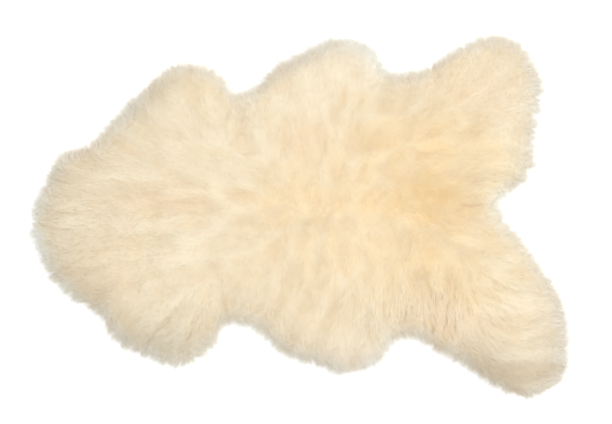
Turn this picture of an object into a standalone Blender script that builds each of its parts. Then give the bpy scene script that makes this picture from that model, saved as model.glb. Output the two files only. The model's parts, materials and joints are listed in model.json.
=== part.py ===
"""A sheepskin rug: one whole pelt, hide and wool together, lying flat on its hide.

The neck points to -X and the hind legs to +X. Z = 0 is the hide's lower face, and
the origin is at the middle of the rug's length and width.
"""

from math import cos, exp, hypot, pi, sin, sqrt

import bmesh
import bpy
import numpy as np
from mathutils import Vector, noise
from mathutils.geometry import delaunay_2d_cdt

# Driving dimensions, in metres.
LENGTH = 1.000        # over the wool, from the neck to the hind legs
PILE = 0.050          # usual height of the wool on the back
EDGE_LIFT = 0.009     # height of the outermost wool above the surface it lies on
OVERHANG = 0.016      # how far the wool reaches out past the cut edge of the hide
RIM = 0.060           # how far in from the edge the wool reaches its full height
RIM_STEPS = 6         # rings of faces that round the rim
CURVE_STEPS = 24      # points worked out on the outline between two of its rows
EDGE_SPACING = 0.016  # distance between points along the outline
TOP_SPACING = 0.021   # distance between points on the crown
HIDE_SPACING = 0.060  # distance between points on the flat hide
UNEVEN = 0.0035       # how far the crown rises and falls where nothing shapes it
UNEVEN_REACH = 0.085  # distance from one such rise to the next
RING_TRUE = 0.97      # share of its inset that each point of an inner ring has at least
MERGE = 0.0001        # points nearer than this are one point
INSIDE_ONLY = 1       # what delaunay_2d_cdt calls keeping only what the loop encloses
WOOL_COLOUR = (0.86, 0.74, 0.55, 1.0)
WOOL_ROUGHNESS = 0.95

# The outline of the wool, clockwise as seen from above, as shares of the length.
# A low bend makes a tight turn at that point, and 1 a long, even one.
# place, along (to the hind legs), across (to the pelt's right side), bend
OUTLINE = (
    ("neck tip", -0.499, -0.027, 1.0),
    ("neck, right corner", -0.495, 0.027, 1.0),
    ("neck, right side", -0.472, 0.068, 1.0),
    ("right cheek", -0.451, 0.115, 0.5),
    ("right collar", -0.388, 0.136, 0.8),
    ("right shoulder, front", -0.350, 0.178, 1.0),
    ("right shoulder", -0.306, 0.228, 1.0),
    ("right foreleg, front", -0.254, 0.277, 1.0),
    ("right foreleg, toe", -0.213, 0.289, 1.0),
    ("right foreleg, back", -0.146, 0.264, 0.6),
    ("right armpit", -0.131, 0.232, 0.5),
    ("right ribs", -0.077, 0.243, 1.0),
    ("right flank, front", -0.050, 0.275, 1.0),
    ("right flank, rise", 0.010, 0.307, 1.0),
    ("right flank, crown", 0.078, 0.334, 1.0),
    ("right flank, back", 0.138, 0.315, 0.9),
    ("right groin", 0.167, 0.270, 0.5),
    ("right haunch", 0.232, 0.275, 1.0),
    ("right thigh", 0.274, 0.300, 1.0),
    ("right hind leg, front", 0.332, 0.332, 1.0),
    ("right hind leg, toe", 0.388, 0.338, 1.0),
    ("right hind leg, corner", 0.437, 0.292, 1.0),
    ("right hind leg, heel", 0.451, 0.236, 1.0),
    ("right hind leg, back", 0.440, 0.150, 1.0),
    ("right rump", 0.434, 0.088, 0.8),
    ("tail, right", 0.394, 0.048, 1.0),
    ("tail notch", 0.370, 0.031, 0.4),
    ("tail, left", 0.386, -0.008, 1.0),
    ("left rump", 0.416, -0.044, 1.0),
    ("left thigh, back", 0.454, -0.096, 1.0),
    ("left hind leg, back", 0.486, -0.148, 1.0),
    ("left hind leg, heel", 0.500, -0.235, 1.0),
    ("left hind leg, corner", 0.491, -0.300, 1.0),
    ("left hind leg, toe", 0.426, -0.335, 1.0),
    ("left hind leg, front", 0.372, -0.318, 1.0),
    ("left thigh", 0.316, -0.278, 1.0),
    ("left haunch", 0.252, -0.242, 1.0),
    ("left groin, back", 0.222, -0.222, 1.0),
    ("left groin", 0.175, -0.230, 0.6),
    ("left flank, back", 0.154, -0.268, 0.9),
    ("left flank, crown", 0.082, -0.293, 0.9),
    ("left flank, middle", 0.035, -0.273, 1.0),
    ("left flank, front", -0.034, -0.248, 1.0),
    ("left ribs", -0.066, -0.215, 1.0),
    ("left ribs, front", -0.110, -0.194, 1.0),
    ("left armpit", -0.143, -0.196, 0.4),
    ("left foreleg, back", -0.160, -0.240, 1.0),
    ("left foreleg, toe", -0.221, -0.276, 1.0),
    ("left foreleg, front", -0.282, -0.262, 1.0),
    ("left shoulder", -0.342, -0.226, 1.0),
    ("left collar", -0.378, -0.176, 0.8),
    ("left cheek", -0.432, -0.144, 1.0),
    ("neck, left corner", -0.479, -0.080, 1.0),
)

# Where the wool stands higher or lies lower than usual, as shares of the length;
# turn is in degrees, from along towards the pelt's right side.
# place, along, across, half length, half width, turn, rise
RELIEF = (
    ("neck ruff", -0.380, -0.020, 0.110, 0.130, 0, 0.006),
    ("hollow behind the neck", -0.270, 0.020, 0.045, 0.150, 0, -0.004),
    ("right shoulder", -0.190, 0.150, 0.080, 0.070, 50, 0.005),
    ("left shoulder", -0.190, -0.150, 0.080, 0.070, -50, 0.005),
    ("right armpit valley", -0.135, 0.190, 0.055, 0.018, 78, -0.011),
    ("left armpit valley", -0.140, -0.165, 0.050, 0.018, -82, -0.011),
    ("spine hollow", 0.040, 0.020, 0.260, 0.030, 0, -0.004),
    ("right flank", 0.050, 0.200, 0.110, 0.070, 0, 0.005),
    ("left flank", 0.050, -0.180, 0.120, 0.060, 0, 0.004),
    ("right groin valley", 0.165, 0.225, 0.040, 0.025, 80, -0.007),
    ("left groin valley", 0.190, -0.195, 0.045, 0.025, -75, -0.007),
    ("right haunch", 0.370, 0.220, 0.070, 0.090, 0, 0.006),
    ("left haunch", 0.410, -0.200, 0.080, 0.090, 0, 0.007),
    ("saddle hollow", 0.260, 0.025, 0.090, 0.050, 0, -0.007),
    ("tail valley", 0.345, 0.025, 0.050, 0.022, 8, -0.010),
)


def smooth_outline():
    """The outline as an even ring of points on a smooth closed curve."""
    curve = bpy.data.curves.new("outline", "CURVE")
    spline = curve.splines.new("BEZIER")
    spline.bezier_points.add(len(OUTLINE) - 1)
    spline.use_cyclic_u = True
    spline.resolution_u = CURVE_STEPS
    for point, (place, along, across, bend) in zip(spline.bezier_points, OUTLINE):
        point.co = (along * LENGTH, across * LENGTH, 0)
        point.handle_left_type = point.handle_right_type = "AUTO"
    guide = bpy.data.objects.new("outline", curve)
    bpy.context.scene.collection.objects.link(guide)
    bpy.context.view_layer.update()
    for point, (place, along, across, bend) in zip(spline.bezier_points, OUTLINE):
        handles = [point.co.lerp(h, bend) for h in (point.handle_left, point.handle_right)]
        point.handle_left_type = point.handle_right_type = "FREE"
        point.handle_left, point.handle_right = handles
    bpy.context.view_layer.update()
    curved = guide.evaluated_get(bpy.context.evaluated_depsgraph_get())
    drawn = bpy.data.meshes.new_from_object(curved)
    ring = np.array([v.co[:2] for v in drawn.vertices])
    bpy.data.objects.remove(guide)
    bpy.data.meshes.remove(drawn)
    bpy.data.curves.remove(curve)
    ring -= (ring.min(0) + ring.max(0)) / 2
    return evenly(ring * LENGTH / np.ptp(ring[:, 0]), EDGE_SPACING)


def evenly(ring, spacing):
    """A closed ring of points, put again about this far apart along the same line."""
    closed = np.vstack([ring, ring[:1]])
    run = np.concatenate([[0], np.cumsum(np.hypot(*np.diff(closed, axis=0).T))])
    places = np.linspace(0, run[-1], round(run[-1] / spacing) + 1)[:-1]
    return np.column_stack([np.interp(places, run, closed[:, i]) for i in (0, 1)])


def inset_of(points, ring):
    """How far each point lies from the nearest edge of the ring."""
    start, step = ring, np.roll(ring, -1, axis=0) - ring
    off = points[:, None] - start
    share = ((off * step).sum(2) / (step**2).sum(1)).clip(0, 1)
    return np.hypot(*(off - share[..., None] * step).transpose(2, 0, 1)).min(1)


def inside(points, ring):
    """Whether each point lies inside the ring."""
    (x, y), (x0, y0), (x1, y1) = points.T[:, :, None], ring.T, np.roll(ring, -1, axis=0).T
    spans = (y0 > y) != (y1 > y)
    crossing = x0 + (y - y0) * (x1 - x0) / np.where(y1 == y0, 1, y1 - y0)
    return (spans & (x < crossing)).sum(1) % 2 == 1


def inner_ring(ring, inset):
    """Points this far in from the ring, without the loops that tight bends would make."""
    along = np.roll(ring, -1, axis=0) - np.roll(ring, 1, axis=0)
    inwards = np.column_stack([along[:, 1], -along[:, 0]]) / np.hypot(*along.T)[:, None]
    moved = ring + inset * inwards
    kept = moved[inside(moved, ring) & (inset_of(moved, ring) > RING_TRUE * inset)]
    spread = [kept[0]]
    for point in kept[1:]:
        if hypot(*(point - spread[-1])) > EDGE_SPACING / 2:
            spread.append(point)
    return np.array(spread)


def lattice(ring, spacing, inset):
    """A triangular lattice of points that lie at least this far in from the ring."""
    low, high = ring.min(0), ring.max(0)
    rows = np.arange(low[1], high[1], spacing * sin(pi / 3))
    columns = np.arange(low[0], high[0], spacing)
    points = np.array([(x + spacing / 2 * (i % 2), y) for i, y in enumerate(rows) for x in columns])
    points = points[inside(points, ring)]
    return points[inset_of(points, ring) > inset]


def relief_at(x, y):
    """How far the crown rises above the usual pile here."""
    rise = UNEVEN * noise.noise(Vector((x, y, 0)) / UNEVEN_REACH)
    for place, along, across, half_length, half_width, turn, height in RELIEF:
        dx, dy = x / LENGTH - along, y / LENGTH - across
        c, s = cos(turn * pi / 180), sin(turn * pi / 180)
        u, v = (dx * c + dy * s) / half_length, (dy * c - dx * s) / half_width
        rise += height * exp(-(u * u + v * v))
    return rise


def wool_height(x, y, inset):
    """Height of the wool's upper face: a round rim, then the crown."""
    share = min(inset / RIM, 1)
    return EDGE_LIFT + (PILE + relief_at(x, y) - EDGE_LIFT) * sqrt(1 - (1 - share) ** 2)


def hide_height(x, y, inset):
    """Height of the underside: flat under the hide, rising where the wool overhangs."""
    return EDGE_LIFT * max(0, 1 - inset / (RING_TRUE * OVERHANG))


def loop_edges(first, count):
    """The edges that close this many points, from the first, into a loop."""
    return [(first + i, first + (i + 1) % count) for i in range(count)]


def add_surface(bm, loops, loose, height):
    """Adds the triangles inside the first loop, with each loop and loose point on them."""
    edges, first = [], 0
    for loop in loops:
        edges += loop_edges(first, len(loop))
        first += len(loop)
    points = [Vector(point) for part in (*loops, loose) for point in part]
    places, _, faces, *_ = delaunay_2d_cdt(points, edges, [], INSIDE_ONLY, MERGE)
    insets = inset_of(np.array(places), loops[0])
    verts = [bm.verts.new((*place, height(*place, inset))) for place, inset in zip(places, insets)]
    return [bm.faces.new([verts[i] for i in face]) for face in faces]


def rim_insets():
    """How far in each ring of the rim lies, so that its faces turn by equal steps."""
    turns = (pi / 2 * (step + 1) / RIM_STEPS for step in range(RIM_STEPS))
    return [RIM * (1 - cos(turn)) for turn in turns]


def material(name, colour, roughness):
    made = bpy.data.materials.new(name)
    made.use_nodes = True
    made.diffuse_color = colour
    shader = made.node_tree.nodes["Principled BSDF"]
    shader.inputs["Base Color"].default_value = colour
    shader.inputs["Roughness"].default_value = roughness
    shader.inputs["Metallic"].default_value = 0.0
    return made


def build_pelt(collection):
    """The whole pelt: the wool's upper face and the hide's underside, joined at the rim."""
    ring = smooth_outline()
    bm = bmesh.new()
    rings = [inner_ring(ring, inset) for inset in rim_insets()]
    crown = lattice(ring, TOP_SPACING, RIM + TOP_SPACING / 2)
    add_surface(bm, [ring, *rings], crown, wool_height)
    hide = lattice(ring, HIDE_SPACING, OVERHANG + HIDE_SPACING / 2)
    lower = add_surface(bm, [ring, inner_ring(ring, OVERHANG)], hide, hide_height)
    bmesh.ops.reverse_faces(bm, faces=lower)
    bmesh.ops.remove_doubles(bm, verts=bm.verts, dist=MERGE)
    bmesh.ops.recalc_face_normals(bm, faces=bm.faces)
    mesh = bpy.data.meshes.new("pelt")
    bm.to_mesh(mesh)
    bm.free()
    mesh.materials.append(material("wool", WOOL_COLOUR, WOOL_ROUGHNESS))
    mesh.shade_smooth()
    mesh.set_sharp_from_angle(angle=pi / 4)
    pelt = bpy.data.objects.new("pelt", mesh)
    collection.objects.link(pelt)
    return pelt


def main():
    for old in list(bpy.data.objects):
        bpy.data.objects.remove(old, do_unlink=True)
    rug = bpy.data.collections.new("sheepskin_rug")
    bpy.context.scene.collection.children.link(rug)
    build_pelt(rug)


main()
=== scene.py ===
"""The looks of the sheepskin rug: a thin suede hide, the fleece that stands on it, and
the separate strands of wool that lie over the fleece and reach out past its edge."""

from math import pi
import json

import bmesh
import bpy
import numpy as np
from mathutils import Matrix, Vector, noise
from mathutils.bvhtree import BVHTree
from mathutils.kdtree import KDTree

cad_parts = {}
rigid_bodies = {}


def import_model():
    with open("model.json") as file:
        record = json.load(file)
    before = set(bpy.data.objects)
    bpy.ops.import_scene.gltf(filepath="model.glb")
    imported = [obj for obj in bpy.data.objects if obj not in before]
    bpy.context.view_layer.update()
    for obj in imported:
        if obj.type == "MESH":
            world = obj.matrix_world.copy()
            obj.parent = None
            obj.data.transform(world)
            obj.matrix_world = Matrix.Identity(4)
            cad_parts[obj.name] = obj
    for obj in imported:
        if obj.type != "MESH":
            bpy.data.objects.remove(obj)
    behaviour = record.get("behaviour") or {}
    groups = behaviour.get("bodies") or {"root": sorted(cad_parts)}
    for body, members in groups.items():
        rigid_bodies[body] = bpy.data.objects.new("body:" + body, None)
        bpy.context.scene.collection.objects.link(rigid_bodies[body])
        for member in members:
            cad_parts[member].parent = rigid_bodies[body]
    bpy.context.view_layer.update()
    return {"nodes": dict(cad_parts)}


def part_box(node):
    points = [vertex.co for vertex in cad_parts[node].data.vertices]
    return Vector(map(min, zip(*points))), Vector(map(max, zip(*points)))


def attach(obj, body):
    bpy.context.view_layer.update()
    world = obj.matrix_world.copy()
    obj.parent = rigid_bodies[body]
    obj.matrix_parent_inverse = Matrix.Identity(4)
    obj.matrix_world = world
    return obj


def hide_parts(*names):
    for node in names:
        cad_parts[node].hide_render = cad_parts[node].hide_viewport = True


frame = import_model()

PELT = frame["nodes"]["pelt"]
LOW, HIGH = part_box("pelt")
LENGTH = HIGH.x - LOW.x

# Sizes and heights are in metres, and turns in radians, unless a comment says otherwise.

# The hide and the fleece.
HIDE_THICK = 0.0025
HIDE_GAP = 0.0003        # between the hide and the underside of the fleece
HIDE_CREASE = pi / 4     # corners of the hide that turn more than this stay sharp
FLEECE_DROP = 0.0030     # how far the solid fleece lies below the tips of the strands
RIM_DRAW = 0.008         # how much further in the solid fleece stays at the outline
RIM_DRAW_REACH = 0.030   # and how far in from there that fades out
EDGE_HEIGHT = 0.009      # height of the wool at the outline
EDGE_DROOP = 0.8         # how steeply it droops past the outline
SAG_ROUNDS = 27          # how broadly the height is smoothed to find where strands cut corners
INNER = 0.015            # from this far in, and this high up, the fleece is its upper side

# Measuring the pelt.
CELL = 0.003             # grid on which heights and directions are kept
CELL_SHY = 0.001         # share of its last cell that is left out
MARGIN = 0.040           # how far that grid reaches past the outline
ABOVE = 1.0              # height from which the pelt is sounded
RIM_STEPS = 8            # points that are kept of each edge along the outline
TINY = 1e-12             # keeps a length of nothing from being divided by
MERGE = 0.00001          # corners of loose triangles nearer than this are one point
FACING_DOWN = -0.999     # the flat underside faces down at least this squarely
ON_FLOOR = 0.0001        # and lies no higher than this

# The wool near the edge.
RIM_SHADE = 0.24        # how much painted shade darkens and greys the wool there
RIM_SHADE_PEAK = 0.012    # and how far in from the outline that painted shade is deepest
RIM_UNSHADED = 0.8       # how much of all painted shade is lost at the outline
RIM_PALE_FADE = 0.006    # how far in from the outline the tips are paler, partly as painted light, and the painted shade weaker

BRUSHED = 0.13           # how loosely the strands lie where the wool is brushed smooth
LOOSE_EDGE = 0.030       # and how far in from the edge they lie loosely

# The way the wool is combed.
RIDGE_FRONT = (-0.030, 0.020)   # where the ridge of the back starts, behind the neck
RIDGE_BACK = (0.220, 0.020)     # and where it ends, above the tail
RIDGE_SWAY = 0.014              # how far the ridge strays to either side
RIDGE_SWAY_REACH = 0.055        # and on what scale
RIDGE_SOFT = 0.045              # how far from the ridge the wool still stands up
RIDGE_LEAN = 0.3                # how far it leans on the ridge, where 1 is lying down
OUTLINE_ROUNDS = 40             # how broadly the outline is smoothed to find its directions
OUTLINE_SOFT = 0.1              # and how weak they are where it has none
EDGE_PULL = 0.055               # how far in from the edge the wool is combed outwards
EDGE_HOLD = 0.8                 # how much of that stays where it is combed another way
DRIFT = 0.35                    # how strongly the combing drifts, beside 1 for its main way
DRIFT_REACH = 0.045
WANDER = 0.35                   # how far it then strays
WANDER_REACH = 0.060
QUIVER = 0.5                    # and again on a smaller scale, as a share of that
QUIVER_REACH = 0.020

# Each uneven thing reads its own slice of the noise.
RIDGE_SLICE = 1.0
DRIFT_SLICES = (3.0, 5.0)
WANDER_SLICE = 7.0
QUIVER_SLICE = 9.0
WISP_SLICE = 11.0
SWEEP_SLICE = 13.0
PARTING_SLICE = 15.0

# Streaks in which the wool lies higher and lighter, drawn out along the combing.
STREAK_STEPS = 6         # steps in which a streak is followed to either side
STREAK_LIMIT = 1.8       # the most that one differs, where their spread is 1
WISP_WIDTH = 0.011       # narrow streaks, and how far they run to either side
WISP_RUN = 0.030
WISP_RISE = 0.0003
WISP_TONE = 0.15
WISP_SHOWN = (0.25, 1.0)                # share of their tone where brushed smooth, and where loose
SWEEP_WIDTH = 0.030      # broad ones
SWEEP_RUN = 0.030
SWEEP_RISE = 0.0007
SWEEP_TONE = 0.27
SWEEP_CLOUDED = 0.7      # how much of a cloud, instead of a streak, they are on the back
BACK = (80, 20, 190, 120)               # where the back is, in the columns of the tables below

# The locks into which the strands are drawn, and how much they differ.
LOCK_SPACING = 0.0045
LOCK_TURN = 0.15
LOCK_RISE = 0.0002
LOCK_TONE = 0.23
LOCK_STRAY = 0.010       # how far from itself a lock may take its direction
STRAY_LOSS = 0.7         # and how much of that is lost as the wool lies down
LOCK_SHOWN = (0.4, 1.0)  # share of their height where brushed smooth, and where loose
TURN_SHOWN = (0.7, 1.5)  # and share of their turn and of the tufts'

# The tufts that they form near the edge.
TUFT_SPACING = 0.0125
TUFT_TURN = 0.16
TUFT_REACH = 0.0018      # how unevenly the tufts end at the outline
TUFT_POINT = 0.25        # how pointed they are there
TUFT_FADE = 0.025        # how far in from the outline the tufts still show
TUFTED_REACH = 3.0       # how much more unevenly they end where the edge is tufted
TUFTED_POINT = 2.2       # how much more pointed they are there
TUFTED_PULL = 0.55       # how much more their tips are drawn together
TUFTED_EVEN = 0.6        # how much less their single strands differ in reach
TUFTED_DEEP = 0.040      # from how far in strands belong to the tuft that they reach

# Partings between locks, in which the wool lies down; there its strands are painted darker and
# more honeyed, as painted shade.
PARTING_WIDTH = 0.0050
PARTING_RUN = 0.013
PARTING_START = 0.5      # how low a streak is where a parting starts
PARTING_LIMIT = 1.5      # and how much lower where it is deepest
PARTING_DEPTH = 0.0035
PARTING_SHADE = 1.3
PARTING_SHADE_HONEY = 0.8

# Single strands.
STRAND_TONE = 0.15       # how much lighter or darker they are than their lock
STRAND_TURN = 0.12       # how far they turn from it
BRUSHED_TURN = 0.30      # how much further where brushed smooth
UPRIGHT_TURN = 0.9       # and how much further where they stand up
LENGTH_SHOWN = (0.45, 1.0)              # share of their length, upright and lying down
REACH_LIMIT = 2          # the most that their reach differs, where its spread is 1
FLATNESS = 0.28          # thickness of a strand beside its width
BEND = 0.45              # how far along a strand its bend lies
BEND_DRAWN = 0.4         # how far its bend is drawn to the lock's middle, beside 1 at its tip
STRAND_CREASE = pi / 3   # its corners that turn more than this stay sharp
LOWEST = 0.0008          # the lowest that a strand lies

# Tones.
TONE_START = 0.5         # of wool that nothing lightens or darkens
TONE_RANGE = (-1, 2)     # the darkest and the lightest

LAYERS = 5               # of long wool

# Seeds of the random numbers.
LOCK_SEED = 41
TUFT_SEED = 42
LONG_SEED = 52           # and one more for each further layer
EDGE_SEED = 61
LOW_SEED = 62


# ---------------------------------------------------------------------------
# The lay of the pelt: its height, its edge and the way the wool is combed
# ---------------------------------------------------------------------------

class Lay:
    """Height, distance from the edge and combing direction, kept on an even grid."""

    def __init__(self):
        self.low = np.array([LOW.x - MARGIN, LOW.y - MARGIN])
        high = np.array([HIGH.x + MARGIN, HIGH.y + MARGIN])
        self.count = np.ceil((high - self.low) / CELL).astype(int) + 1
        lines = [low + CELL * np.arange(count) for low, count in zip(self.low, self.count)]
        self.x, self.y = np.meshgrid(*lines, indexing="ij")
        self.inset, self.height = self.sounded()
        self.sag = np.clip(self.height - smoothed(self.height, SAG_ROUNDS), 0, None)
        self.out_x, self.out_y = self.outline_directions()
        self.flow_x, self.flow_y, self.lean = self.combing()
        self.wisps = self.streaks(WISP_WIDTH, WISP_RUN, WISP_SLICE)
        self.sweeps = self.streaks(SWEEP_WIDTH, SWEEP_RUN, SWEEP_SLICE, SWEEP_CLOUDED)
        self.partings = self.streaks(PARTING_WIDTH, PARTING_RUN, PARTING_SLICE)

    def sounded(self):
        """How far inside the outline each point of the grid lies, and how high the pelt is."""
        tree, rim = read_pelt()
        inset, height = np.empty(self.count), np.empty(self.count)
        for spot in np.ndindex(*self.count):
            x, y = self.x[spot], self.y[spot]
            hit = tree.ray_cast(Vector((x, y, ABOVE)), Vector((0, 0, -1)))[0]
            away = rim.find((x, y, 0))[2]
            inset[spot] = away if hit else -away
            height[spot] = hit.z if hit else EDGE_HEIGHT
        return inset, height

    def outline_directions(self):
        """The direction out through the outline, from wherever that is clear."""
        out = -np.stack(np.gradient(smoothed(self.inset, OUTLINE_ROUNDS), CELL))
        return out / (np.hypot(*out) + OUTLINE_SOFT)

    def combing(self):
        """Unit directions, away from the back's ridge and turning square to the edge near it,
        and how far the wool leans over."""
        x, y = self.x, self.y
        near = np.clip(x, RIDGE_FRONT[0], RIDGE_BACK[0])
        share = (near - RIDGE_FRONT[0]) / (RIDGE_BACK[0] - RIDGE_FRONT[0])
        ridge = RIDGE_FRONT[1] + share * (RIDGE_BACK[1] - RIDGE_FRONT[1])
        ridge += RIDGE_SWAY * wavy(x, 0 * y, RIDGE_SWAY_REACH, RIDGE_SLICE)
        fan = np.stack([x - near, y - ridge])
        away = np.hypot(*fan)
        fan /= away + RIDGE_SOFT
        edge = np.exp(-np.clip(self.inset, 0, None) / EDGE_PULL)
        drift = np.stack([wavy(x, y, DRIFT_REACH, part) for part in DRIFT_SLICES])
        flow = fan * (1 - edge) + np.stack([self.out_x, self.out_y]) * edge + DRIFT * drift
        for _, *shape, turn, strength in COMBED:
            combed = strength * (1 - EDGE_HOLD * edge) * patch(x, y, *shape)
            flow += combed * np.array(heading(turn))[:, None, None]
        lean = np.clip(away / (2 * RIDGE_SOFT), RIDGE_LEAN, 1)
        angle = np.arctan2(flow[1], flow[0])
        quiver = QUIVER * wavy(x, y, QUIVER_REACH, QUIVER_SLICE)
        angle += WANDER * (wavy(x, y, WANDER_REACH, WANDER_SLICE) + quiver)
        return np.cos(angle), np.sin(angle), np.maximum(lean, edge)

    def streaks(self, width, run, part, clouded=0.0):
        """Uneven streaks along the combing, this wide, with a spread of 1 about 0; on the
        back they are clouds instead, to this share."""
        clouds = wavy(self.x, self.y, width, part)
        drawn = clouds.copy()
        for way in (-1, 1):
            x, y = self.x, self.y
            for _ in range(STREAK_STEPS):
                angle = self.angle(x, y)
                x = x + way * run / STREAK_STEPS * np.cos(angle)
                y = y + way * run / STREAK_STEPS * np.sin(angle)
                drawn += self.at(clouds, x, y)
        still = clouded * patch(self.x, self.y, *BACK)
        mixed = still * clouds / clouds.std() + (1 - still) * drawn / drawn.std()
        return np.clip(mixed, -STREAK_LIMIT, STREAK_LIMIT)

    def at(self, grid, x, y):
        """The grid's value at each place, worked out from the four points around it."""
        last = self.count - 1 - CELL_SHY
        u = np.clip((x - self.low[0]) / CELL, 0, last[0])
        v = np.clip((y - self.low[1]) / CELL, 0, last[1])
        i, j = u.astype(int), v.astype(int)
        s, t = u - i, v - j
        return (
            grid[i, j] * (1 - s) * (1 - t) + grid[i + 1, j] * s * (1 - t)
            + grid[i, j + 1] * (1 - s) * t + grid[i + 1, j + 1] * s * t
        )

    def outward(self, x, y):
        """Unit directions out through the nearest stretch of the outline."""
        return unit(np.stack([self.at(self.out_x, x, y), self.at(self.out_y, x, y)], -1)).T

    def angle(self, x, y):
        """The direction in which the wool is combed at each place."""
        return np.arctan2(self.at(self.flow_y, x, y), self.at(self.flow_x, x, y))


def read_pelt():
    """A tree of the pelt's faces, and one of points along its outline."""
    bm = bmesh.new()
    bm.from_mesh(PELT.data)
    bmesh.ops.remove_doubles(bm, verts=bm.verts, dist=MERGE)
    tree = BVHTree.FromBMesh(bm)
    points = []
    for edge in bm.edges:
        ups = [face.normal.z > 0 for face in edge.link_faces]
        if len(ups) == 2 and ups[0] != ups[1]:
            a, b = (v.co.copy() for v in edge.verts)
            points += [a.lerp(b, step / RIM_STEPS) for step in range(RIM_STEPS)]
    bm.free()
    return tree, tree_of([(point.x, point.y) for point in points])


def tree_of(places):
    """A tree that finds the nearest of these places on the floor."""
    tree = KDTree(len(places))
    for i, (x, y) in enumerate(places):
        tree.insert((x, y, 0), i)
    tree.balance()
    return tree


def smoothed(grid, rounds):
    """The grid with each value evened out with its four neighbours, this many times."""
    for _ in range(rounds):
        grid = np.pad(grid, 1, mode="edge")
        grid = (
            grid[1:-1, 1:-1] * 2 + grid[:-2, 1:-1] + grid[2:, 1:-1]
            + grid[1:-1, :-2] + grid[1:-1, 2:]
        ) / 6
    return grid


def wavy(x, y, reach, part):
    """Smooth noise from -1 to 1 at each place, on this scale and from this slice of it."""
    flat = [noise.noise(Vector((a / reach, b / reach, part))) for a, b in zip(x.flat, y.flat)]
    return np.array(flat).reshape(x.shape)


def unit(vectors):
    """Vectors of the same directions with a length of 1, one in each row."""
    return vectors / (np.linalg.norm(vectors, axis=-1, keepdims=True) + TINY)


def heading(degrees):
    """Along and across for one step in this direction."""
    return np.cos(degrees * pi / 180), np.sin(degrees * pi / 180)


def between(share, ends):
    """The value this far from the first of two ends to the second."""
    return ends[0] + (ends[1] - ends[0]) * share


# ---------------------------------------------------------------------------
# The wool's colour, tufts and combing, by named places on the pelt
# ---------------------------------------------------------------------------

# Patches of the wool. Columns: place; along and across, from the rug's middle, in
# thousandths of its length; half length and half width, in millimetres; turn in degrees;
# depth.
MILLI = 1000

# Where it is a deeper honey.
HONEY = (
    ("loin", 225, 60, 190, 150, 0, 0.50),
    ("saddle", 245, 35, 68, 58, 0, 0.40),
    ("ridge of the back", 0, 33, 160, 30, 0, 0.30),
    ("right haunch", 250, 150, 120, 50, 0, 0.28),
    ("right hock", 330, 250, 60, 50, 0, 0.16),
    ("left thigh", 280, -110, 100, 75, 0, 0.38),
    ("left flank", 160, -100, 90, 60, 0, 0.18),
    ("left hock", 330, -190, 60, 60, 0, 0.20),
    ("right ribs", 0, 110, 80, 70, 0, 0.20),
    ("left ribs", 50, -70, 110, 60, 0, 0.20),
    ("right shoulder", -230, 35, 75, 30, 0, 0.28),
    ("left of the neck", -320, -50, 60, 60, 0, 0.16),
    ("left of the back", 0, -10, 90, 40, 0, 0.12),
    ("nape", -470, -10, 30, 70, 0, 0.26),
    ("right of the nape", -355, 155, 55, 28, 40, 0.42),
    ("left of the nape", -350, -185, 50, 28, -46, 0.22),
    ("right foreleg", -275, 245, 50, 25, 40, -0.28),
    ("right elbow", -85, 247, 85, 28, 5, 0.46),
    ("right shin", 245, 286, 80, 28, 25, 0.44),
    ("right toe", 400, 250, 50, 40, 0, -0.14),
    ("left hip", 415, -60, 50, 35, -50, 0.22),
    ("left groin", 235, -226, 55, 30, -10, 0.46),
    ("left elbow", -120, -214, 80, 30, 0, 0.46),
    ("left shin", 335, -235, 50, 35, -20, 0.16),
    ("left toe", 400, -300, 80, 25, -25, -0.15),
    ("left foreleg", -290, -228, 90, 22, -20, 0.12),
    ("edge of the left flank", 110, -262, 55, 35, 0, -0.40),
    ("edge of the right side", 10, 235, 80, 35, 0, -0.14),
)

# Where it has a touch of peach.
BLUSHED = (
    ("right ribs", 20, 145, 50, 40, 0, 0.50),
    ("right shoulder", -240, 30, 90, 30, 0, 0.50),
    ("left of the nape", -360, -100, 50, 40, 0, 0.40),
    ("left thigh", 290, -200, 100, 50, -20, 0.50),
    ("right hock", 330, 230, 70, 40, 0, 0.40),
)

# Painted shade: where its edge is painted darker and greyer than elsewhere, as shade on wool that
# falls away from the light.
SHADED_PLACES = (
    ("neck", -300, 0, 200, 200, 0, 0.15),
    ("nape", -480, 0, 70, 130, 0, 0.40),
    ("left of the nape", -400, -150, 90, 60, -40, 0.32),
    ("right of the nape", -385, 140, 50, 35, 30, -0.36),
    ("left foreleg", -250, -235, 110, 55, 0, 0.70),
    ("left elbow", -110, -200, 45, 35, 0, -0.45),
    ("right foreleg", -330, 190, 140, 45, 36, 0.38),
    ("right elbow", -275, 240, 50, 30, 40, 0.25),
    ("right side", -80, 250, 90, 40, 10, -0.38),
    ("left hind leg", 385, -285, 120, 50, -25, 0.60),
    ("left foot", 490, -270, 40, 60, 0, 0.45),
    ("right loin", 180, 275, 60, 30, 0, -0.10),
    ("right shin", 265, 290, 65, 35, 25, -0.48),
    ("left hip", 425, -50, 60, 40, -50, -0.25),
    ("tail", 380, 50, 40, 40, 0, -0.20),
    ("left groin", 225, -230, 60, 35, 0, -0.42),
)

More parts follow.
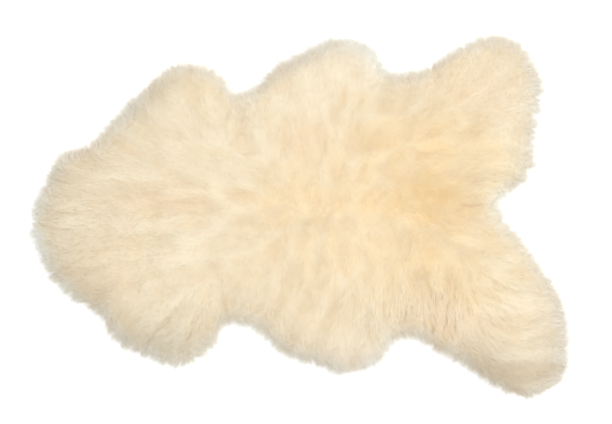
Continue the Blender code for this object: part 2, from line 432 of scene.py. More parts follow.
# Where it is lighter, or darker if the depth is below nothing.
LIGHTENED = (
    ("nape", -460, 0, 30, 100, 0, 0.30),
    ("edge of the nape", -490, -30, 20, 120, 5, 1.40),
    ("edge left of the nape", -401, -180, 100, 14, -46, 1.50),
    ("left of the nape", -365, -145, 60, 30, -46, -0.60),
    ("right of the nape", -395, 132, 50, 26, 30, -0.85),
    ("right shoulder", -310, 172, 50, 28, 40, 0.50),
    ("neck", -400, 0, 50, 60, 0, 0.30),
    ("right foreleg", -240, 240, 65, 14, 38, -0.60),
    ("left foreleg", -225, -210, 70, 30, 0, 0.70),
    ("edge of the left foreleg", -270, -262, 60, 12, -20, 0.90),
    ("left elbow", -80, -195, 45, 30, 0, 0.60),
    ("left side", -55, -215, 35, 22, 0, 0.50),
    ("edge of the right side", 2, 283, 60, 12, 27, -1.40),
    ("right side", 40, 260, 60, 35, 0, 0.60),
    ("right elbow", -35, 215, 35, 25, 0, 0.55),
    ("right flank", 150, 280, 35, 30, -40, 0.90),
    ("right ribs", -50, 125, 50, 35, 0, -0.40),
    ("back", -30, -5, 90, 35, 0, -0.85),
    ("left of the back", -25, -65, 50, 35, 0, -0.50),
    ("right of the back", 145, 145, 50, 60, 0, -0.35),
    ("left ribs", -30, -130, 110, 50, -25, -0.85),
    ("left flank", 60, -180, 110, 60, -10, -0.45),
    ("edge of the left flank", 10, -280, 50, 16, -15, -1.00),
    ("left stifle", 150, -245, 30, 30, 0, 0.60),
    ("saddle", 258, 15, 72, 60, 0, -1.20),
    ("tail", 368, 22, 30, 40, 0, 1.05),
    ("left groin", 175, -200, 45, 30, 0, 0.40),
    ("right loin", 160, 215, 50, 30, 0, -0.30),
    ("right haunch", 270, 215, 50, 25, 0, -0.45),
    ("right hock", 310, 255, 45, 50, 0, 0.55),
    ("right heel", 390, 190, 50, 40, 0, 0.40),
    ("edge of the right foot", 410, 275, 55, 15, -50, -0.60),
    ("right foot", 372, 100, 30, 80, 0, 1.00),
    ("end of the right foot", 418, 145, 16, 50, 0, -0.60),
    ("left thigh", 330, -65, 50, 30, -40, 0.45),
    ("left hock", 355, -160, 75, 55, 0, 1.00),
    ("edge of the left thigh", 255, -205, 50, 25, -20, 0.45),
    ("left foot", 475, -210, 30, 80, 0, -0.80),
    ("left toe", 450, -290, 60, 30, 0, -1.00),
    ("edge of the left toe", 395, -310, 50, 14, -30, -0.50),
    ("left shin", 350, -283, 60, 14, -30, -0.80),
)

# Where its strands lie loosely and show one by one, instead of being brushed smooth.
LOOSE = (
    ("neck", -430, 0, 150, 250, 0, 0.65),
    ("left foreleg", -260, -220, 110, 80, 0, 0.30),
    ("right foreleg", -260, 200, 110, 80, 0, 0.20),
    ("left thigh", 250, -170, 90, 60, 0, 0.35),
    ("left hind leg", 390, -180, 90, 90, -30, 0.12),
    ("right hind leg", 370, 200, 90, 90, 0, 0.20),
)

# Where its edge is paler: partly paler wool, partly painted light against the shade among its
# drooping strands.
PALED_AND_LIT = (
    ("edge of the nape", -492, -30, 18, 120, 5, 0.40),
    ("left of the nape", -405, -188, 100, 16, -46, 0.50),
    ("right elbow", -285, 255, 40, 16, 40, 0.40),
    ("right side", 30, 320, 110, 50, 0, 0.35),
    ("right flank", 130, 305, 40, 45, -40, 0.50),
    ("left flank", 110, -275, 70, 50, 0, 0.60),
    ("left foot", 480, -240, 60, 100, 0, 0.45),
    ("right foot", 450, 200, 35, 90, 0, 0.35),
)

# Where its edge ends in separate tufts.
TUFTED = (
    ("right hind leg", 450, 130, 50, 100, 0, 1.00),
    ("nape", -500, -10, 30, 40, 0, 0.60),
    ("left of the nape", -420, -170, 90, 50, -40, 0.50),
    ("left foreleg", -260, -270, 120, 40, 0, 0.50),
    ("left foot", 440, -310, 60, 40, 0, 0.40),
)

# Where its edge reaches further out, or less far, in metres.
REACHED = (
    ("nick in the nape", -485, -7.5, 35, 8.5, 0, -0.0130),
    ("right tip of the nape", -490, 17, 35, 12, 0, 0.0080),
    ("left tip of the nape", -490, -31, 35, 15, 0, 0.0075),
    ("right of the nape", -420, 125, 50, 30, 0, 0.0030),
    ("left of the nape", -465, -115, 30, 60, 30, 0.0040),
    ("right shoulder", -350, 195, 40, 25, 45, 0.0030),
    ("right elbow", -275, 255, 45, 30, 40, -0.0105),
    ("right foreleg", -125, 245, 40, 35, 0, 0.0040),
    ("left foreleg", -360, -220, 50, 40, -45, 0.0030),
    ("left forefoot", -200, -275, 60, 35, 20, -0.0035),
    ("left elbow", -80, -205, 35, 30, 0, 0.0045),
    ("right side", -5, 310, 80, 40, 22, 0.0060),
    ("right flank", 125, 315, 45, 30, -20, 0.0020),
    ("left side", -5, -270, 45, 30, -20, 0.0045),
    ("left flank", 115, -298, 60, 35, 0, -0.0085),
    ("tuft of the left flank", 67, -285, 10, 35, 0, 0.0045),
    ("before the flank's tuft", 47, -280, 8, 35, 0, -0.0055),
    ("behind the flank's tuft", 99, -280, 11, 35, 0, -0.0060),
    ("left stifle", 147, -262, 11, 35, 0, -0.0045),
    ("right loin", 190, 270, 50, 30, 0, 0.0025),
    ("right hind leg", 440, 100, 30, 50, 0, 0.0090),
    ("right heel", 455, 240, 30, 13, 0, 0.0130),
    ("right toe", 445, 245, 40, 50, 0, 0.0030),
    ("tail", 400, -30, 30, 60, 40, 0.0030),
    ("left foot", 490, -210, 30, 90, 0, 0.0045),
    ("left toe", 450, -330, 50, 30, 0, 0.0020),
    ("left shin", 345, -305, 70, 30, -30, -0.0045),
)

# Where it parts into separate locks.
PARTED = (
    ("left thigh", 250, -185, 110, 50, 0, 1.00),
    ("left hip", 370, -120, 50, 50, -40, 0.35),
    ("left foot", 400, -200, 60, 80, 0, 0.12),
    ("nape", -430, 0, 60, 120, 0, 0.6),
    ("left foreleg", -250, -220, 100, 60, 0, 0.5),
)

# Where it is combed another way, with the direction in degrees for the turn.
COMBED = (
    ("neck and shoulders", -260, 0, 190, 150, 180, 1.3),
    ("right foreleg", -290, 190, 90, 70, 120, 1.3),
    ("left foreleg", -260, -220, 100, 60, -120, 1.5),
    ("left ribs", 10, -210, 110, 60, -120, 1.5),
    ("right haunch", 280, 120, 140, 90, 5, 3.0),
    ("right hind leg", 400, 230, 80, 70, 20, 2.0),
    ("left thigh", 260, -180, 100, 85, -90, 2.2),
    ("left foot", 440, -230, 80, 110, 8, 6.0),
)


def patch(x, y, along, across, half_length, half_width, turn=0):
    """From 1 at a patch's middle, fading to 0 around it."""
    dx, dy = x - along / MILLI * LENGTH, y - across / MILLI * LENGTH
    c, s = heading(turn)
    far = (dx * c + dy * s) / (half_length / MILLI)
    aside = (dy * c - dx * s) / (half_width / MILLI)
    return np.exp(-far ** 2 - aside ** 2)


def patches(table, x, y):
    """The depths of a table's patches at each place, added up."""
    return sum(depth * patch(x, y, *shape) for _, *shape, depth in table)


def looseness(lay, x, y):
    """How loosely the strands lie, up to 1 at the edge."""
    near = np.exp(-np.clip(lay.at(lay.inset, x, y), 0, None) / LOOSE_EDGE)
    return near + (1 - near) * (BRUSHED + patches(LOOSE, x, y))


def colouring(lay, x, y):
    """How honeyed and blushed the wool is at each place, and its painted shade, deeper towards the
    edge.
    """
    inset = np.clip(lay.at(lay.inset, x, y), 0, None)
    share = inset / RIM_SHADE_PEAK
    painted_shade = RIM_SHADE * share * np.exp(1 - share) + patches(SHADED_PLACES, x, y)
    painted_shade *= 1 - RIM_UNSHADED * np.exp(-inset / RIM_PALE_FADE)
    return patches(HONEY, x, y), patches(BLUSHED, x, y), np.clip(painted_shade, 0, 1)


def surface(lay, x, y):
    """Height of the wool's tips here; past the outline it droops towards the floor."""
    inset = lay.at(lay.inset, x, y)
    height = lay.at(lay.height, x, y)
    return np.where(inset > 0, height, EDGE_HEIGHT + EDGE_DROOP * inset)


def ground(lay, x, y):
    """Height of the surface on which the rug lies."""
    return 0 * x


# ---------------------------------------------------------------------------
# Materials
# ---------------------------------------------------------------------------

# The values that each point of the wool holds for its colour, and what they are without one. The
# third is painted shade; the last makes tips paler, partly as painted light.
WOOL_VALUES = {
    "Honey": 0.0, "Blush": 0.0, "Shade": 0.0, "Along": 0.5, "Tone": 0.5, "Paleness_and_light": 0.0
}

MOTTLE_SCALE = 28.0      # patches of deeper and lighter wool, about 35 mm across
MOTTLE_DETAIL = 3.0
MOTTLE_SPAN = (0.35, 0.65)              # the part of their noise that is used
MOTTLE_DEPTH = 0.13      # how much honey they add or take away
GRAIN_SCALE = 700.0      # the crimp of single fibres, about 1.5 mm from wave to wave
GRAIN_DETAIL = 2.0
GRAIN_DEPTH = 0.0001
GRAIN_STRENGTH = 0.5
ROOT_SPAN = (0.05, 0.65)                # where along a strand its root's colour ends
TIP_SPAN = (0.55, 1.0)                  # and where its tip's begins
TIP_SHARE = 0.55         # how ivory the very tip is
WOOL_ROUGHNESS = (0.80, 0.92)

CREAM = (0.950, 0.835, 0.625, 1)
HONEY_COLOUR = (0.950, 0.722, 0.386, 1)
PEACH = (0.950, 0.755, 0.545, 1)
# darker, greyer wool: painted shade where the edge falls away from the light
SHADE_COLOUR = (0.715, 0.645, 0.500, 1)
# paler tips near the outline: partly paler wool, partly painted light against the shade among the
# drooping strands
RIM_PALE_AND_LIT = (0.945, 0.925, 0.850, 1)
ROOT_TINT = (0.980, 0.960, 0.930, 1)
TIP_IVORY = (0.970, 0.880, 0.700, 1)
DARK_TINT = (0.900, 0.848, 0.785, 1)
LIGHT_TINT = (1.080, 1.120, 1.170, 1)

BLOTCH_SCALE = 9.0       # broad blotches on the suede, about 110 mm across
BLOTCH_DETAIL = 6.0
BLOTCHES = ((0.30, (0.560, 0.430, 0.290, 1)), (0.72, (0.720, 0.600, 0.440, 1)))
NAP_SCALE = 420.0        # and its nap, about 2.5 mm from wave to wave
NAP_DETAIL = 4.0
NAP_DEPTH = 0.0006
NAP_STRENGTH = 0.35

WOOL_SURFACE = {"Specular IOR Level": 0.25, "Sheen Weight": 0.25, "Sheen Roughness": 0.6}
SUEDE_SURFACE = {"Roughness": 0.9, "Sheen Weight": 0.2}
PAPER_SURFACE = {
    "Base Color": (0.90, 0.90, 0.90, 1), "Roughness": 1.0, "Specular IOR Level": 0.0,
    "Emission Color": (1, 1, 1, 1), "Emission Strength": 0.35,
}

# Sockets of a Mix node that mixes colours.
MIX_INPUTS = (0, 6, 7)
MIX_RESULT = 2


def fill(tree, socket, value):
    """Gives a socket this value, or joins it to the socket that the value comes from."""
    if isinstance(value, bpy.types.NodeSocket):
        tree.links.new(value, socket)
    else:
        socket.default_value = value


def mixed(tree, factor, a, b, kind="MIX"):
    """The first colour, with this share of the second one mixed in."""
    node = tree.nodes.new("ShaderNodeMix")
    node.data_type = "RGBA"
    node.blend_type = kind
    for place, value in zip(MIX_INPUTS, (factor, a, b)):
        fill(tree, node.inputs[place], value)
    return node.outputs[MIX_RESULT]


def stretched(tree, value, span, ends=(0.0, 1.0)):
    """A value, with this span of it stretched from the one end to the other."""
    node = tree.nodes.new("ShaderNodeMapRange")
    fill(tree, node.inputs["Value"], value)
    for name, number in zip(("From Min", "From Max", "To Min", "To Max"), (*span, *ends)):
        fill(tree, node.inputs[name], number)
    return node.outputs["Result"]


def worked_out(tree, operation, a, b, clamped=False):
    """The sum or product of two values."""
    node = tree.nodes.new("ShaderNodeMath")
    node.operation = operation
    node.use_clamp = clamped
    for place, value in enumerate((a, b)):
        fill(tree, node.inputs[place], value)
    return node.outputs["Value"]


def soft_noise(tree, place, scale, detail):
    """Soft noise over the surface."""
    node = tree.nodes.new("ShaderNodeTexNoise")
    for name, value in (("Vector", place), ("Scale", scale), ("Detail", detail)):
        fill(tree, node.inputs[name], value)
    return node.outputs["Fac"]


def new_material(name, settings):
    """A material with these settings on its shader, and its tree and its shader."""
    made = bpy.data.materials.new(name)
    made.use_nodes = True
    shader = made.node_tree.nodes["Principled BSDF"]
    for socket, value in settings.items():
        shader.inputs[socket].default_value = value
    return made, made.node_tree, shader


def own_place(tree):
    """Where each point lies on its own piece."""
    return tree.nodes.new("ShaderNodeTexCoord").outputs["Object"]


def relief(tree, shader, height, strength, distance):
    """Shows this height as fine relief."""
    bump = tree.nodes.new("ShaderNodeBump")
    for name, value in (("Height", height), ("Strength", strength), ("Distance", distance)):
        fill(tree, bump.inputs[name], value)
    fill(tree, shader.inputs["Normal"], bump.outputs["Normal"])


def wool_group():
    """The colour, roughness and grain of wool, from the values that its points hold."""
    tree = bpy.data.node_groups.new("wool_looks", "ShaderNodeTree")
    new_socket = tree.interface.new_socket
    for name, start in WOOL_VALUES.items():
        new_socket(name, in_out="INPUT", socket_type="NodeSocketFloat").default_value = start
    new_socket("Vector", in_out="INPUT", socket_type="NodeSocketVector")
    new_socket("Colour", in_out="OUTPUT", socket_type="NodeSocketColor")
    new_socket("Roughness", in_out="OUTPUT", socket_type="NodeSocketFloat")
    new_socket("Grain", in_out="OUTPUT", socket_type="NodeSocketFloat")
    given = tree.nodes.new("NodeGroupInput").outputs
    made = tree.nodes.new("NodeGroupOutput").inputs

    mottle = soft_noise(tree, given["Vector"], MOTTLE_SCALE, MOTTLE_DETAIL)
    uneven = stretched(tree, mottle, MOTTLE_SPAN, (-MOTTLE_DEPTH, MOTTLE_DEPTH))
    honey = worked_out(tree, "ADD", given["Honey"], uneven, clamped=True)
    wool = mixed(tree, honey, CREAM, HONEY_COLOUR)
    wool = mixed(tree, given["Blush"], wool, PEACH)
    # painted shade: darker, greyer wool towards the edge
    wool = mixed(tree, given["Shade"], wool, SHADE_COLOUR)
    root = mixed(tree, 1.0, wool, ROOT_TINT, "MULTIPLY")
    strand = mixed(tree, stretched(tree, given["Along"], ROOT_SPAN), root, wool)
    ivory = stretched(tree, given["Along"], TIP_SPAN, (0.0, TIP_SHARE))
    strand = mixed(tree, ivory, strand, TIP_IVORY)
    # paler tips near the edge, partly painted light
    pale_and_lit = worked_out(tree, "MULTIPLY", given["Paleness_and_light"], given["Along"])
    strand = mixed(tree, pale_and_lit, strand, RIM_PALE_AND_LIT)
    bright = mixed(tree, stretched(tree, given["Tone"], TONE_RANGE), DARK_TINT, LIGHT_TINT)
    fill(tree, made["Colour"], mixed(tree, 1.0, strand, bright, "MULTIPLY"))
    fill(tree, made["Roughness"], stretched(tree, mottle, MOTTLE_SPAN, WOOL_ROUGHNESS))
    fill(tree, made["Grain"], soft_noise(tree, given["Vector"], GRAIN_SCALE, GRAIN_DETAIL))
    return tree


def wool_material():
    """Wool whose colours follow the values that each piece's own points hold."""
    made, tree, shader = new_material("wool", WOOL_SURFACE)
    group = tree.nodes.new("ShaderNodeGroup")
    group.node_tree = wool_group()
    for name in WOOL_VALUES:
        value = tree.nodes.new("ShaderNodeAttribute")
        value.attribute_name = name.lower()
        fill(tree, group.inputs[name], value.outputs["Fac"])
    fill(tree, group.inputs["Vector"], own_place(tree))
    fill(tree, shader.inputs["Base Color"], group.outputs["Colour"])
    fill(tree, shader.inputs["Roughness"], group.outputs["Roughness"])
    relief(tree, shader, group.outputs["Grain"], GRAIN_STRENGTH, GRAIN_DEPTH)
    return made


def suede_material():
    """The hide's flesh side: tan suede, blotched and with a short nap."""
    made, tree, shader = new_material("suede", SUEDE_SURFACE)
    place = own_place(tree)
    tan = tree.nodes.new("ShaderNodeValToRGB")
    for element, (position, colour) in zip(tan.color_ramp.elements, BLOTCHES):
        element.position = position
        element.color = colour
    fill(tree, tan.inputs["Fac"], soft_noise(tree, place, BLOTCH_SCALE, BLOTCH_DETAIL))
    fill(tree, shader.inputs["Base Color"], tan.outputs["Color"])
    relief(tree, shader, soft_noise(tree, place, NAP_SCALE, NAP_DETAIL), NAP_STRENGTH, NAP_DEPTH)
    return made


# ---------------------------------------------------------------------------
# The hide and the fleece
# ---------------------------------------------------------------------------

def only(obj):
    """Selects this object alone and makes it the active one."""
    for other in bpy.context.view_layer.objects:
        other.select_set(False)
    obj.select_set(True)
    bpy.context.view_layer.objects.active = obj


def pelt_copy(name):
    """A copy of the pelt's solid with its loose triangles joined, and selected alone."""
    mesh = PELT.data.copy()
    mesh.name = name
    mesh.materials.clear()
    obj = bpy.data.objects.new(name, mesh)
    bpy.context.scene.collection.objects.link(obj)
    only(obj)
    bpy.ops.mesh.customdata_custom_splitnormals_clear()
    bpy.ops.object.mode_set(mode="EDIT")
    bpy.ops.mesh.select_all(action="SELECT")
    bpy.ops.mesh.remove_doubles(threshold=MERGE)
    bpy.ops.mesh.mark_sharp(clear=True)
    bpy.ops.mesh.normals_make_consistent(inside=False)
    bpy.ops.object.mode_set(mode="OBJECT")
    return obj


def keep_underside(mesh):
    """Leaves only the flat underside. Returns its width and length, and its area."""
    bm = bmesh.new()
    bm.from_mesh(mesh)
    others = [
        face for face in bm.faces
        if face.normal.z >= FACING_DOWN or face.calc_center_median().z >= ON_FLOOR
    ]
    bmesh.ops.delete(bm, geom=others, context="FACES")
    area = sum(face.calc_area() for face in bm.faces)
    across = [vert.co.y for vert in bm.verts]
    along = [vert.co.x for vert in bm.verts]
    bm.to_mesh(mesh)
    bm.free()
    return (max(across) - min(across), max(along) - min(along)), area


def make_hide(suede):
    """The skin itself: the flat underside of the pelt, given its thickness upwards."""
    hide = pelt_copy("hide")
    cut, area = keep_underside(hide.data)
    thick = hide.modifiers.new("thickness", "SOLIDIFY")
    thick.thickness = HIDE_THICK
    thick.offset = -1
    bpy.ops.object.modifier_apply(modifier=thick.name)
    hide.data.materials.append(suede)
    hide.data.shade_smooth()
    hide.data.set_sharp_from_angle(angle=HIDE_CREASE)
    return hide, cut, area


def make_fleece(lay, wool):
    """The body of the wool, a little below the tips of its strands."""
    fleece = pelt_copy("fleece")
    finer = fleece.modifiers.new("finer", "SUBSURF")
    finer.levels = finer.render_levels = 1
    bpy.ops.object.modifier_apply(modifier=finer.name)
    bpy.ops.object.mode_set(mode="EDIT")
    bpy.ops.mesh.select_all(action="SELECT")
    bpy.ops.transform.shrink_fatten(value=-FLEECE_DROP)
    bpy.ops.object.mode_set(mode="OBJECT")
    places = settled(lay, vertex_places(fleece.data))
    fleece.data.vertices.foreach_set("co", places.astype(np.float32).ravel())
    x, y = places[:, 0], places[:, 1]
    give_values(fleece.data, *colouring(lay, x, y), WOOL_VALUES["Along"], TONE_START, 0.0)
    fleece.data.materials.append(wool)
    fleece.data.shade_smooth()
    return fleece


def vertex_places(mesh):
    """Where the mesh's points are, a row for each."""
    places = np.empty(len(mesh.vertices) * 3, np.float32)
    mesh.vertices.foreach_get("co", places)
    return places.reshape(-1, 3).astype(float)


def settled(lay, places):
    """The fleece's points, drawn in at the outline and settled under the strands."""
    x, y = places[:, 0], places[:, 1]
    inward = RIM_DRAW * np.clip(1 - lay.at(lay.inset, x, y) / RIM_DRAW_REACH, 0, 1)
    x, y = places[:, :2].T - lay.outward(x, y) * inward
    top = surface(lay, x, y) + SWEEP_RISE * lay.at(lay.sweeps, x, y) - lay.at(lay.sag, x, y)
    top -= FLEECE_DROP * looseness(lay, x, y) + PARTING_DEPTH * patches(PARTED, x, y)
    inner = (lay.at(lay.inset, x, y) > INNER) & (places[:, 2] > INNER)
    z = np.where(inner, top, np.minimum(places[:, 2], top))
    return np.stack([x, y, np.maximum(z, HIDE_THICK + HIDE_GAP)], 1)


def give_values(mesh, *columns):
    """Writes the values that the wool's colours follow: one column for each of them, with
    a value for each point or the same for all."""
    for name, values in zip(WOOL_VALUES, columns):
        layer = mesh.attributes.new(name.lower(), "FLOAT", "POINT")
        layer.data.foreach_set("value", np.full(len(mesh.vertices), values, np.float32))


# ---------------------------------------------------------------------------
# The strands, and the locks and tufts that they belong to
# ---------------------------------------------------------------------------

# The kinds of strand. They lie over this surface, are rooted this far apart and this far in
# from the outline, and are this long and this wide. Past the outline they may reach this far
# (middle and spread). Their root, bend and tip lie this high over the surface, and their
# tips are drawn this much to the middle of their lock and of their tuft.
LONG_WOOL = {
    "over": surface, "spacing": 0.0043, "inset": (0.003, 1),
    "length": (0.028, 0.042), "width": (0.0004, 0.0008), "overshoot": (0.0085, 0.0050),
    "root": (-0.0045, -0.0025), "bend": (-0.0012, 0.0), "tip": (-0.0014, 0.0002),
    "lock_pull": 0.2, "tuft_pull": 0.25,
}
EDGE_WOOL = {
    "over": surface, "spacing": 0.0020, "inset": (0.002, 0.034),
    "length": (0.034, 0.050), "width": (0.0003, 0.0006), "overshoot": (0.0145, 0.0070),
    "root": (-0.014, -0.005), "bend": (-0.009, -0.001), "tip": (-0.004, 0.002),
    "lock_pull": 0.2, "tuft_pull": 0.3,
}
LOW_WOOL = {
    "over": ground, "spacing": 0.0020, "inset": (0.001, 0.012),
    "length": (0.016, 0.024), "width": (0.0003, 0.0006), "overshoot": (0.004, 0.0030),
    "root": (0.004, 0.012), "bend": (0.002, 0.008), "tip": (0.0008, 0.005),
    "lock_pull": 0.2, "tuft_pull": 0.3,
}

# A strand's points are its root, the three corners around its bend, and its tip. The corners
# lie beside and above its middle line by these shares of its width and its thickness.
STRAND_CORNERS = ((-0.5, -0.33), (0.5, -0.33), (0.0, 0.67))
STRAND_FACES = np.array([(0, 2, 1), (0, 3, 2), (0, 1, 3), (1, 2, 4), (2, 3, 4), (3, 1, 4)])
STRAND_STOPS = (0, BEND, BEND, BEND, 1)
STRAND_POINTS = len(STRAND_STOPS)


def roots(lay, rng, spacing, inset_low, inset_high):
    """Places this far apart on an uneven grid, and this far in from the outline."""
    x, y = np.meshgrid(
        np.arange(LOW.x, HIGH.x, spacing), np.arange(LOW.y, HIGH.y, spacing), indexing="ij"
    )
    x = x.ravel() + rng.uniform(0, 1, x.size) * spacing
    y = y.ravel() + rng.uniform(0, 1, y.size) * spacing
    inset = lay.at(lay.inset, x, y)
    kept = (inset > inset_low) & (inset < inset_high)
    return x[kept], y[kept]


class Locks:
    """Locks of wool on an uneven grid, each with its own turn, tone, height and reach."""

    def __init__(self, lay, seed, spacing, turn, reach):
        rng = np.random.default_rng(seed)
        self.x, self.y = roots(lay, rng, spacing, 0, 1)
        count = len(self.x)
        self.turn = rng.normal(0, turn, count)
        self.tone = rng.uniform(-1, 1, count)
        self.rise = rng.normal(0, LOCK_RISE, count)
        self.reach = rng.normal(0, reach, count)
        self.stray = rng.normal(0, LOCK_STRAY, (2, count))
        self.tree = tree_of(list(zip(self.x, self.y)))

    def nearest(self, x, y):
        """The number of the lock that lies nearest to each place."""
        return np.array([self.tree.find((a, b, 0))[1] for a, b in zip(x, y)])

    def aside(self, lock, x, y, angle):
        """How far each place lies to the left of its lock's middle line."""
        return (y - self.y[lock]) * np.cos(angle) - (x - self.x[lock]) * np.sin(angle)


class Strands:
    """Strands of one kind, from where they are rooted to how they lie and look.

    The steps below draw random numbers, so they are taken in the order in which they stand."""

    def __init__(self, lay, locks, tufts, kind, seed):
        self.lay, self.locks, self.tufts, self.kind = lay, locks, tufts, kind
        self.rng = np.random.default_rng(seed)
        x, y = roots(lay, self.rng, kind["spacing"], *kind["inset"])
        self.x, self.y, self.count = x, y, len(x)
        self.loose, self.lean = looseness(lay, x, y), lay.at(lay.lean, x, y)
        self.inset, self.tufted = lay.at(lay.inset, x, y), patches(TUFTED, x, y)
        self.wisp, self.sweep = lay.at(lay.wisps, x, y), lay.at(lay.sweeps, x, y)
        low = np.clip(-lay.at(lay.partings, x, y) - PARTING_START, 0, PARTING_LIMIT)
        self.parting = patches(PARTED, x, y) * low
        self.lock = locks.nearest(x, y)
        # Where the edge is tufted, all that reaches it at one place belongs to one tuft.
        out = np.clip(self.tufted, 0, 1) * np.clip(self.inset, 0, TUFTED_DEEP)
        way = lay.angle(x, y)
        self.tuft = tufts.nearest(x + out * np.cos(way), y + out * np.sin(way))

    def turn(self):
        """Turns the strands with the combing, their locks and tufts, and a little each."""
        lying = np.clip(self.lean - RIDGE_LEAN, 0, 1)
        stray = self.locks.stray[:, self.lock] * (1 - STRAY_LOSS * lying)
        turned = self.locks.turn[self.lock] + self.tufts.turn[self.tuft]
        combed = self.lay.angle(self.x + stray[0], self.y + stray[1])
        self.combed = combed + between(self.loose, TURN_SHOWN) * turned
        turn = STRAND_TURN + BRUSHED_TURN * np.clip(1 - self.loose, 0, 1)
        self.angle = self.combed + turn * self.rng.normal(0, 1, self.count)
        self.angle += (1 - self.lean) * self.rng.normal(0, UPRIGHT_TURN, self.count)

    def lift(self, layer, layers):
        """Lifts their roots, bends and tips over the surface, those of a later layer higher."""
        rise = self.locks.rise[self.lock] + WISP_RISE * self.wisp
        rise = between(self.loose, LOCK_SHOWN) * rise + SWEEP_RISE * self.sweep
        rise -= PARTING_DEPTH * self.parting
        share = (layer + self.rng.uniform(0, 1, self.count)) / layers
        ends = [self.kind[end] for end in ("root", "bend", "tip")]
        self.lifts = [rise + self.loose * between(share, end) for end in ends]

    def reach(self):
        """Gives them their length, and draws them back to end where they may: the middle
        strands of a tuft reach furthest past the outline."""
        kind, size = self.kind, self.count
        reached = patches(REACHED, self.x, self.y)
        length = self.rng.uniform(*kind["length"], size) * between(self.lean, LENGTH_SHOWN)
        self.length = length + reached / (1 - BEND)
        uneven = np.clip(self.rng.normal(0, 1, size), -REACH_LIMIT, REACH_LIMIT)
        uneven *= 1 - TUFTED_EVEN * self.tufted
        over = kind["overshoot"][0] + kind["overshoot"][1] * uneven
        over += (1 + TUFTED_REACH * self.tufted) * self.tufts.reach[self.tuft] + reached
        self.off_tuft = self.tufts.aside(self.tuft, self.x, self.y, self.combed)
        self.off_lock = self.locks.aside(self.lock, self.x, self.y, self.combed)
        pointed = TUFT_POINT + TUFTED_POINT * self.tufted
        ahead = self.inset + over - pointed * np.abs(self.off_tuft)
        back = np.maximum((1 - BEND) * self.length - ahead, 0)
        self.x = self.x - back * np.cos(self.angle)
        self.y = self.y - back * np.sin(self.angle)

    def paths(self):
        """The root, bend and tip of each strand, drawn to the middle of its lock and tuft."""
        places = []
        for share, lift in zip((-BEND, 0.0, 1 - BEND), self.lifts):
            x = self.x + share * self.length * np.cos(self.angle)
            y = self.y + share * self.length * np.sin(self.angle)
            places.append(np.stack([x, y, self.kind["over"](self.lay, x, y) + lift], 1))
        places = np.stack(places, 1)
        gathered = self.kind["tuft_pull"] + TUFTED_PULL * self.tufted
        gathered = gathered * np.exp(-self.inset / TUFT_FADE)
        drawn = self.kind["lock_pull"] * self.off_lock + gathered * self.off_tuft
        for share, spot in zip((BEND_DRAWN, 1.0), (1, 2)):
            places[:, spot, 0] += share * drawn * np.sin(self.combed)
            places[:, spot, 1] -= share * drawn * np.cos(self.combed)
        places[:, :, 2] = np.maximum(places[:, :, 2], LOWEST)
        return places

    def tones(self):
        """How light or dark each strand is."""
        own = self.rng.uniform(-1, 1, self.count)
        tone = self.loose * (LOCK_TONE * self.locks.tone[self.lock] + STRAND_TONE * own)
        wisped = WISP_TONE * between(self.loose, WISP_SHOWN) * self.wisp
        tone += TONE_START + wisped + SWEEP_TONE * self.sweep
        tone += patches(LIGHTENED, self.x, self.y)
        # strands in a parting are painted darker, as painted shade
        tone -= PARTING_SHADE * self.parting
        return np.clip(tone, *TONE_RANGE)

    def values(self, paths):
        """The values that their colours follow, a column for each, a row for each point."""
        honey, blush, painted_shade = colouring(self.lay, self.x, self.y)
        tip_inset = self.lay.at(self.lay.inset, paths[:, 2, 0], paths[:, 2, 1])
        # tips near the outline are paler, partly as painted light against the shade among the
        # drooping strands
        pale_and_lit = np.exp(-np.clip(tip_inset, 0, None) / RIM_PALE_FADE)
        pale_and_lit += patches(PALED_AND_LIT, self.x, self.y)
        # and more honeyed, as painted shade in the parting
        honey += PARTING_SHADE_HONEY * self.parting
        columns = [
            np.repeat(column, STRAND_POINTS)
            for column in (honey, blush, painted_shade, self.tones(), pale_and_lit)
        ]
        along = np.tile(STRAND_STOPS, self.count)
        return *columns[:3], along, *columns[3:]


def strand_points(paths, width):
    """The points of closed, three-sided strands, pointed at their roots and their tips."""
    along = unit((paths[:, 2] - paths[:, 0]) / 2)
    side = unit(np.cross((0.0, 0.0, 1.0), along))
    rise = np.cross(along, side)
    thick = FLATNESS * width
    corners = [
        paths[:, 1] + (side * a * width[:, None] + rise * b * thick[:, None])
        for a, b in STRAND_CORNERS
    ]
    return np.stack([paths[:, 0], *corners, paths[:, 2]], 1).reshape(-1, 3)


def strand_mesh(name, points):
    """One mesh of strands with these points, and the number of the point at each corner."""
    count = len(points) // STRAND_POINTS
    first = STRAND_POINTS * np.arange(count)
    corners = (first[:, None, None] + STRAND_FACES).reshape(-1)
    mesh = bpy.data.meshes.new(name)
    mesh.vertices.add(len(points))
    mesh.vertices.foreach_set("co", points.astype(np.float32).ravel())
    mesh.loops.add(len(corners))
    mesh.polygons.add(len(corners) // 3)
    mesh.polygons.foreach_set("loop_start", np.arange(0, len(corners), 3, dtype=np.int32))
    mesh.loops.foreach_set("vertex_index", corners.astype(np.int32))
    mesh.update(calc_edges=True)
    mesh.shade_smooth()
    mesh.set_sharp_from_angle(angle=STRAND_CREASE)
    return mesh, corners


def lay_out(mesh, points, corners):
    """A map of the strands as they are seen from above."""
    flat = (points[corners][:, :2] - [LOW.x - MARGIN, LOW.y - MARGIN]) / (LENGTH + 2 * MARGIN)
    sheet = mesh.uv_layers.new(name="OFBake")
    sheet.uv.foreach_set("vector", flat.astype(np.float32).ravel())


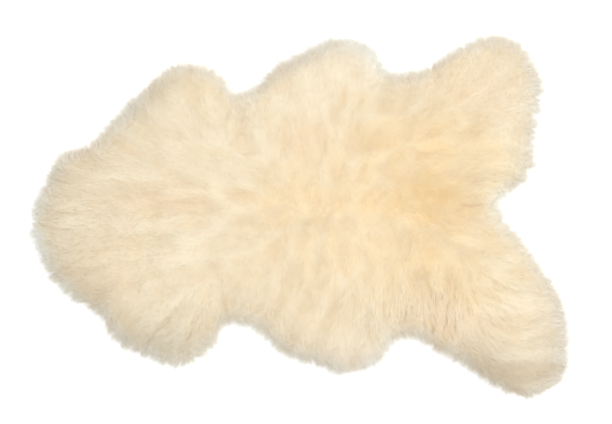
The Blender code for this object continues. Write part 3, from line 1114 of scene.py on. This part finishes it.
def make_strands(lay, locks, tufts, name, seed, kind, wool, layer=0, layers=1):
    """A piece of strands of one kind, or one layer of them."""
    strands = Strands(lay, locks, tufts, kind, seed)
    strands.turn()
    strands.lift(layer, layers)
    strands.reach()
    paths = strands.paths()
    values = strands.values(paths)
    width = strands.rng.uniform(*kind["width"], strands.count)
    points = strand_points(paths, width)
    mesh, corners = strand_mesh(name, points)
    give_values(mesh, *values)
    lay_out(mesh, points, corners)
    mesh.materials.append(wool)
    obj = bpy.data.objects.new(name, mesh)
    bpy.context.scene.collection.objects.link(obj)
    return obj


# ---------------------------------------------------------------------------
# The floor, the light and the camera
# ---------------------------------------------------------------------------

FLOOR_SIZE = 14
FLOOR_HEIGHT = -0.0006
SKY = 0.505              # strength of the light from all around
SUN = 2.01               # and of the light from above
SUN_ANGLE = 1.3          # how broad that light is
SUN_TURN = (-0.16, 0.22, 0)
AIM = (0.013, 0.009, 0.020)             # what the camera looks straight down at
SHOT_WIDTH = 1.142       # how much it sees there from side to side
LENS = 85                # in millimetres, as the next one is
SENSOR = 36


def make_floor():
    """A plain, pale floor of paper."""
    bpy.ops.object.select_all(action="DESELECT")
    bpy.ops.mesh.primitive_plane_add(size=FLOOR_SIZE, location=(0, 0, FLOOR_HEIGHT))
    floor = bpy.context.object
    floor.name = "floor"
    floor.data.materials.append(new_material("floor_paper", PAPER_SURFACE)[0])


def make_light():
    """Soft light from all around and from a broad lamp above."""
    world = bpy.data.worlds.new("studio")
    world.use_nodes = True
    sky = world.node_tree.nodes["Background"]
    sky.inputs["Color"].default_value = (1, 1, 1, 1)
    sky.inputs["Strength"].default_value = SKY
    bpy.context.scene.world = world
    lamp = bpy.data.lights.new("softbox", "SUN")
    lamp.energy = SUN
    lamp.angle = SUN_ANGLE
    softbox = bpy.data.objects.new("softbox", lamp)
    softbox.rotation_euler = SUN_TURN
    bpy.context.scene.collection.objects.link(softbox)


def make_camera():
    """A camera that looks straight down on the rug."""
    view = bpy.data.cameras.new("camera")
    view.lens = LENS
    view.sensor_width = SENSOR
    camera = bpy.data.objects.new("camera", view)
    camera.location = (AIM[0], AIM[1], AIM[2] + SHOT_WIDTH * LENS / SENSOR)
    bpy.context.scene.collection.objects.link(camera)
    bpy.context.scene.camera = camera
    bpy.context.scene.view_settings.view_transform = "Standard"


make_floor()
make_light()
make_camera()

lay = Lay()
wool = wool_material()
hide, hide_cut, hide_area = make_hide(suede_material())
fleece = make_fleece(lay, wool)
locks = Locks(lay, LOCK_SEED, LOCK_SPACING, LOCK_TURN, 0)
tufts = Locks(lay, TUFT_SEED, TUFT_SPACING, TUFT_TURN, TUFT_REACH)
strands = []
for layer in range(LAYERS):
    name, seed = f"long_wool_{layer + 1}", LONG_SEED + layer
    strands.append(make_strands(lay, locks, tufts, name, seed, LONG_WOOL, wool, layer, LAYERS))
strands.append(make_strands(lay, locks, tufts, "edge_wool", EDGE_SEED, EDGE_WOOL, wool))
strands.append(make_strands(lay, locks, tufts, "low_wool", LOW_SEED, LOW_WOOL, wool))

for piece in (hide, fleece, *strands):
    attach(piece, "root")
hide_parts("pelt")
